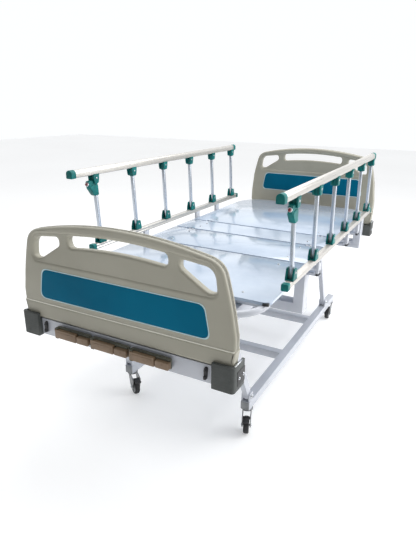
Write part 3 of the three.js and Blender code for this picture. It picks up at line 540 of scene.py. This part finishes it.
# Pivot bolts of the two lift frames, a head on each lug.
LUG_FACE = 0.3245
lift_reach = joint_at["frame_level"] - joint_at["height"]
for level, body, reach in (("lower", "base", Vector()), ("upper", "upper", lift_reach)):
    for joint in ("height", "head_lift"):
        at = joint_at[joint] + reach
        heads = [screw((side * LUG_FACE, at.y, at.z), (side, 0, 0), 0.011) for side in (-1, 1)]
        piece(f"{joint}_{level}_bolts", heads, "steel", body)

# Screws that hold the deck sections to their frames.
for node in ("back_panel", "thigh_panel", "calf_panel", "seat_panel"):
    body = body_of[node]
    low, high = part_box(node)
    rows = (low.y + 0.055, high.y - 0.055) if body != "back" else (low.y + 0.055, (low.y + high.y) / 2)
    heads = [screw((side * 0.3125, y, high.z - 0.0004), (0, 0, 1), 0.0055) for side in (-1, 1) for y in rows]
    piece(node + "_screws", heads, "steel", body)

# ---- casters ------------------------------------------------------------------------
for corner in ("foot_right", "foot_left", "head_right", "head_left"):
    fork, wheel, pedal = f"caster_fork_{corner}", f"caster_wheel_{corner}", f"brake_pedal_{corner}"
    dressed(fork, "fork_steel", 0.0012, 0.008)
    crown = joint_at[corner + "_swivel"]
    ring = bar(0.0215, (crown.x, crown.y, 0.1005), (crown.x, crown.y, 0.1058), 0.0008, 32)
    piece(f"caster_ring_{corner}", [ring], "steel", "base")
    dressed(pedal, "black_plastic", 0.0015, 0.008)
    hub = joint_at[corner + "_roll"]
    axle = Vector(next(j["axis"] for j in frame["joints"] if j["name"] == corner + "_roll"))
    tyre = [
        (0.0285, -0.0110), (0.0335, -0.0118), (0.0360, -0.0098), (0.0372, -0.0055), (0.0375, 0.0),
        (0.0372, 0.0055), (0.0360, 0.0098), (0.0335, 0.0118), (0.0285, 0.0110),
    ]
    piece(wheel + "_tyre", [spun(tyre, hub, axle, 48)], "wheel_tread", body_of[wheel], [wheel])
    core = [
        (0.0056, -0.0120), (0.0125, -0.0120), (0.0138, -0.0080), (0.0240, -0.0070), (0.0262, -0.0112),
        (0.0290, -0.0112), (0.0290, 0.0112), (0.0262, 0.0112), (0.0240, 0.0070), (0.0138, 0.0080),
        (0.0125, 0.0120), (0.0056, 0.0120),
    ]
    piece(wheel + "_hub", [spun(core, hub, axle, 40)], "wheel_hub", body_of[wheel])
    nuts = [screw(hub + axle * side * 0.0195, axle * side, 0.0075) for side in (-1, 1)]
    piece(f"caster_axle_nuts_{corner}", nuts, "steel", body_of[fork])

# ---- cranks -------------------------------------------------------------------------
ARM_HALF = 0.081
ARM_DEPTH = 0.008
GRIP_PIVOT = 0.071  # from the spindle, towards the grip's end
STEP_HALF = ARM_HALF - 0.004

for drive in ("back", "height", "knee"):
    node = drive + "_crank"
    grip_node = node + "_grip"
    low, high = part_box(node)
    grip_low, grip_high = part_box(grip_node)
    x, z = middle(node).x, middle(node).z
    back_of_arm = joint_at[node + "_turn"].y
    face = low.y
    arm_front = back_of_arm - ARM_DEPTH
    arm = slab([rectangle(x - ARM_HALF, x + ARM_HALF, z - 0.021, z + 0.021, 0.007)], (arm_front, back_of_arm),
               0.0022)
    step = slab([rounded([(x - STEP_HALF, z + 0.0168, 0.001), (x + 0.020, z + 0.0168, 0.001),
                          (x + 0.030, z + 0.0115, 0.001), (x + STEP_HALF, z + 0.0115, 0.001),
                          (x + STEP_HALF, z + 0.0200, 0.002), (x - STEP_HALF, z + 0.0200, 0.002)])],
                (arm_front - 0.006, arm_front + 0.002), 0.0010)
    pivot_x, pivot_y = x - GRIP_PIVOT, (face + arm_front) / 2
    ears = [block((pivot_x - 0.0068, face + 0.003, z + s * 0.0168),
                  (pivot_x + 0.0068, arm_front + 0.001, z + s * 0.0208), 0.001) for s in (-1, 1)]
    pin = bar(0.003, (pivot_x, pivot_y, z - 0.0205), (pivot_x, pivot_y, z + 0.0205), 0.0005, 14)
    piece(node + "_arm", [arm, step, *ears, pin], "crank_dark", body_of[node], [node])
    hub_start = grip_high.x + 0.004
    hub_block = slab([rectangle(hub_start, x + ARM_HALF, z - 0.016, z + 0.0112, 0.005)],
                     (face, arm_front + 0.001), 0.0030)
    dimple = bar(0.0065, (x + 0.056, face - 0.0006, z - 0.002), (x + 0.056, face + 0.004, z - 0.002), 0.0006,
                 20)
    piece(node + "_hub", [hub_block, dimple], "crank_brown", body_of[node])
    shaft = bar(0.009, (x, back_of_arm - 0.001, z), (x, high.y, z), 0.001, 28)
    collar = bar(0.0135, (x, back_of_arm - 0.0005, z), (x, back_of_arm + 0.0018, z), 0.0005, 28)
    piece(node + "_spindle", [shaft, collar], "steel", body_of[node])
    ridge = slab([rectangle(grip_low.x + 0.016, grip_high.x - 0.008, z - 0.0085, z + 0.0085, 0.004)],
                 (grip_low.y - 0.0010, grip_low.y + 0.003), 0.0009)
    dressed(grip_node, "crank_brown", 0.0024, 0.012, [ridge])
    dressed(drive + "_drive_tube", "steel", 0.0006, 0.001)

for node in ("board_latch_right", "board_latch_left"):
    low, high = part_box(node)
    x, top, bottom = (low.x + high.x) / 2, high.z, low.z
    plate = slab([rounded([(x - 0.0060, bottom, 0.003), (x + 0.0036, bottom, 0.003),
                           (x + 0.0065, top - 0.012, 0.004), (x + 0.0060, top, 0.004),
                           (x - 0.0052, top, 0.005), (x - 0.0065, top - 0.016, 0.004)])],
                 (low.y + 0.001, high.y), 0.0014)
    grip = block((x - 0.0062, low.y - 0.0030, bottom + 0.001),
                 (x + 0.0030, low.y + 0.002, bottom + 0.014), 0.0014)
    hub = bar(0.0058, (x, low.y - 0.0012, top - 0.012), (x, low.y + 0.002, top - 0.012), 0.0008, 24)
    piece(node + "_lever", [plate, grip, hub], "black_plastic", body_of[node], [node])

# ---- side rails ---------------------------------------------------------------------
post_foot, post_top = joint_at["right_post_1_fold"], joint_at["right_rail_level"]
REACH = (post_top - post_foot).length
SET_BACK = post_foot.y - post_top.y
LEAN = asin(SET_BACK / REACH)
TOP_RAIL_HALF = 0.014
TOP_RAIL_HEIGHT = 0.032
LOWER_RAIL_HALF = 0.013
LOWER_RAIL_HEIGHT = 0.026
LOWER_RAIL_DROP = 0.027  # from the lower pivots to the rail's top
SLOT_HALF = 0.0100  # from a post's middle to the plates beside it
POST_HALF = 0.008
LOCK_DROP = 0.008  # from the upper pivot to the lock housing's top
BRACKET_LOW, BRACKET_HIGH = 0.6197, 0.6337
BRACKETS = ((-0.280, 0.4143), (0.264, 0.3203), (0.525, 0.3203))  # place along the bed, and its inner end


def top_profile(x, low, grow=0.0):
    """A rail section with a round top and a flat underside."""
    half = TOP_RAIL_HALF + grow
    arch = [Vector((x + half * cos(a), low + TOP_RAIL_HEIGHT - TOP_RAIL_HALF + half * sin(a))) for a in
            [pi * i / 20 for i in range(21)]]
    return arch + [
        Vector((x - half, low + 0.003 - grow)), Vector((x - half + 0.003, low - grow)),
        Vector((x + half - 0.003, low - grow)), Vector((x + half, low + 0.003 - grow)),
    ]


for hand, side in (("right", 1), ("left", -1)):
    top, lower = hand + "_top_rail", hand + "_lower_rail"
    pivots = [joint_at[f"{hand}_post_{i + 1}_fold"] for i in range(6)]
    x = pivots[0].x
    low_pivot_z = pivots[0].z
    high_pivot_z = low_pivot_z + REACH * cos(LEAN)
    t_low, t_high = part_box(top)
    rail_low = t_high.z - TOP_RAIL_HEIGHT
    tube = slab([top_profile(x, rail_low)], (t_low.y + 0.001, t_high.y - 0.001), 0.0006, rings=1)
    piece(top + "_tube", [tube], "rail_aluminium", body_of[top], [top])
    caps = []
    for y, out in ((t_low.y, -1), (t_high.y, 1)):
        span = sorted((y - out * 0.022, y + out * 0.007))
        caps.append(slab([top_profile(x, rail_low, 0.0016)], span, 0.0028))
    piece(top + "_end_caps", caps, "teal_plastic", body_of[top])

    sockets, heads = [], []
    for pivot in pivots:
        y = pivot.y - SET_BACK
        waist, tip = high_pivot_z - 0.006, high_pivot_z - 0.024
        sides = rounded([(y - 0.019, rail_low + 0.004, 0.001), (y + 0.019, rail_low + 0.004, 0.001),
                         (y + 0.0175, waist, 0.006), (y + 0.0125, tip, 0.006),
                         (y - 0.0125, tip, 0.006), (y - 0.0175, waist, 0.006)])
        for s in (-1, 1):
            sockets.append(slab([sides], sorted((x + s * SLOT_HALF, x + s * 0.0172)), 0.0022, "x"))
            heads.append(screw((x + s * 0.0170, y, high_pivot_z), (s, 0, 0), 0.0045))
        sockets.append(block((x - 0.0172, y - 0.019, rail_low - 0.0004),
                             (x + 0.0172, y + 0.019, rail_low + 0.004), 0.0012))
    piece(top + "_sockets", sockets, "teal_plastic", body_of[top])
    piece(top + "_pins", heads, "steel", body_of[top])

    l_low, l_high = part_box(lower)
    section_high = low_pivot_z - LOWER_RAIL_DROP
    section_low = section_high - LOWER_RAIL_HEIGHT
    section = [(p.x, p.y) for p in
               rectangle(x - LOWER_RAIL_HALF, x + LOWER_RAIL_HALF, section_low, section_high, 0.006)]
    for s in (1, -1):
        groove = [(x + s * LOWER_RAIL_HALF, section_low + 0.009), (x + s * 0.0115, section_low + 0.011),
                  (x + s * 0.0115, section_high - 0.011), (x + s * LOWER_RAIL_HALF, section_high - 0.009)]
        side_face = x * s + LOWER_RAIL_HALF - 0.0001
        cut_in = next(i for i in range(len(section))
                      if min(section[i][0] * s, section[i - 1][0] * s) > side_face
                      and abs(section[i][1] - section[i - 1][1]) > 0.01)
        rising = section[cut_in][1] > section[cut_in - 1][1]
        section[cut_in:cut_in] = groove if rising else groove[::-1]
    tube = slab([[Vector(p) for p in section]], (l_low.y + 0.0005, l_high.y - 0.0005), 0.0005, rings=1)
    piece(lower + "_tube", [tube], "rail_aluminium", body_of[lower], [lower])

    arms = []
    inner = x - side * 0.012
    outer = inner + side * 0.014
    for y, root in BRACKETS:
        arms.append(block((side * root, y - 0.020, BRACKET_LOW), (outer, y + 0.020, BRACKET_HIGH), 0.002))
        arms.append(block((inner, y - 0.020, BRACKET_LOW), (outer, y + 0.020, section_low + 0.004), 0.002))
        arms += [screw((outer, y, z), (side, 0, 0), 0.0065) for z in (0.640, 0.684)]
    piece(lower + "_brackets", arms, "frame_paint", "upper")

    blocks, heads = [], []
    for pivot in pivots:
        y = pivot.y
        cheek = rounded([(y - 0.0225, section_high - 0.002, 0.001), (y + 0.0225, section_high - 0.002, 0.001),
                         (y + 0.0225, section_high + 0.012, 0.005), (y + 0.0140, low_pivot_z + 0.018, 0.008),
                         (y - 0.0125, low_pivot_z + 0.018, 0.006), (y - 0.0225, section_high + 0.014, 0.006)])
        for s in (-1, 1):
            blocks.append(slab([cheek], sorted((x + s * SLOT_HALF, x + s * 0.0166)), 0.0018, "x"))
            heads.append(screw((x + s * 0.0164, y, low_pivot_z), (s, 0, 0), 0.0045))
        blocks.append(block((x - 0.0166, y - 0.0225, section_high - 0.002),
                            (x + 0.0166, y + 0.0225, section_high + 0.0022), 0.001))
    for y, out in ((l_low.y, -1), (l_high.y, 1)):
        span = sorted((y - out * 0.018, y + out * 0.006))
        cap = rectangle(x - 0.0142, x + 0.0142, section_low - 0.0012, section_high + 0.0012, 0.006)
        blocks.append(slab([cap], span, 0.0025))
    piece(lower + "_blocks", blocks, "teal_plastic", body_of[lower])
    piece(lower + "_pins", heads, "steel", body_of[lower])

    for i, pivot in enumerate(pivots):
        node = f"{hand}_post_{i + 1}"
        y, z = pivot.y, pivot.z
        to_pivot = Matrix.Translation((0, y, z))
        stance = to_pivot @ Matrix.Rotation(LEAN, 4, "X") @ to_pivot.inverted()
        top_z = z + REACH
        tube = slab([rectangle(x - POST_HALF, x + POST_HALF, y - POST_HALF, y + POST_HALF, 0.005)],
                    (z - 0.0238, top_z + 0.0088), 0.0006, "z", 1)
        knuckles = [slab([rounded([
            (y - 0.0103, top_z - 0.026, 0.003), (y + 0.0103, top_z - 0.026, 0.003),
            (y + 0.0112, top_z + 0.0112, 0.010), (y - 0.0112, top_z + 0.0112, 0.010),
        ])], (x - 0.0094, x + 0.0094), 0.0014, "x")]
        foot_ring = slab([rectangle(x - 0.0088, x + 0.0088, y - 0.0088, y + 0.0088, 0.0052)],
                         (z + 0.022, z + 0.028), 0.0010, "z", 1)
        if i == 0:
            high = top_z - LOCK_DROP
            near, far = y - POST_HALF, y - POST_HALF - 0.038
            shell = slab([rounded([
                (y + 0.011, high, 0.003), (far, high, 0.008), (far, high - 0.026, 0.008),
                (near - 0.008, high - 0.070, 0.006), (y + 0.011, high - 0.070, 0.005),
            ])], (x - 0.0092, x + 0.0092), 0.0022, "x")
            cover = slab([rounded([
                (y + 0.0105, high - 0.022, 0.004), (near - 0.012, high - 0.020, 0.004),
                (far + 0.002, high - 0.028, 0.008), (near - 0.009, high - 0.069, 0.006),
                (y + 0.0105, high - 0.069, 0.005),
            ])], (x - 0.0122, x + 0.0122), 0.0026, "x")
            knuckles += [shell, cover]
            collar = bar(0.0088, (x, far - 0.0022, high - 0.013), (x, far + 0.004, high - 0.013), 0.0008, 24)
            collar.transform(stance)
            piece(node + "_collar", [collar], "steel", body_of[node])
        for mesh in (tube, foot_ring, *knuckles):
            mesh.transform(stance)
        piece(node + "_bar", [tube, foot_ring], "post_aluminium", body_of[node], [node])
        piece(node + "_knuckles", knuckles, "teal_plastic", body_of[node])

    button = hand + "_lock_button"
    low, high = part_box(button)
    lie = Vector((0, -cos(LEAN), -sin(LEAN)))
    back = Vector(((low.x + high.x) / 2, high.y - 0.0012, (low.z + high.z) / 2 + 0.0012))
    head = [(0.0001, 0), (0.0062, 0), (0.0062, 0.0142), (0.0056, 0.0158), (0.0035, 0.0168), (0.0001, 0.0171)]
    piece(button + "_cap", [spun(head, back, lie, 24)], "button_red", body_of[button], [button])

# ---- floor and light ----------------------------------------------------------------
FLOOR_HALF = 14
ground = bmesh.new()
bmesh.ops.create_grid(ground, x_segments=4, y_segments=4, size=FLOOR_HALF)
floor_mesh = settled(ground)
floor = bpy.data.objects.new("studio_floor", floor_mesh)
bpy.context.scene.collection.objects.link(floor)
pale = finish("studio_floor", (0.80, 0.80, 0.80), (0.83, 0.83, 0.83), 0.8, mottle=0.6, grain=40, bump=0.02,
              shine=0.1)
glow = pale.node_tree.nodes["Principled BSDF"].inputs
glow["Emission Color"].default_value = (1, 1, 1, 1)
glow["Emission Strength"].default_value = 0.30
floor_mesh.materials.append(pale)

world = bpy.data.worlds.new("studio")
bpy.context.scene.world = world
world.use_nodes = True
sky = world.node_tree
facing = node_in(sky, "TexCoord")
parts = node_in(sky, "SeparateXYZ")
sky.links.new(facing.outputs["Generated"], parts.inputs[0])
bright = between(sky, parts.outputs["Y"], -0.8, 0.1, 0.13, 1.02)
sky.nodes["Background"].inputs["Color"].default_value = (0.97, 0.985, 1.0, 1)
sky.links.new(bright, sky.nodes["Background"].inputs["Strength"])


def panel_light(name, place, target, size, power):
    lamp = bpy.data.lights.new(name, "AREA")
    lamp.shape = "RECTANGLE"
    lamp.size, lamp.size_y = size
    lamp.energy = power
    made = bpy.data.objects.new(name, lamp)
    made.location = place
    made.rotation_euler = (Vector(target) - Vector(place)).to_track_quat("-Z", "Y").to_euler()
    bpy.context.scene.collection.objects.link(made)


panel_light("ceiling_panel", (0.4, 0.8, 3.4), (0, 0, 0.6), (3.2, 3.6), 95)
panel_light("side_window", (3.4, 1.4, 1.8), (0, 0, 0.6), (2.2, 2.0), 70)
bpy.context.scene.view_settings.view_transform = "Standard"
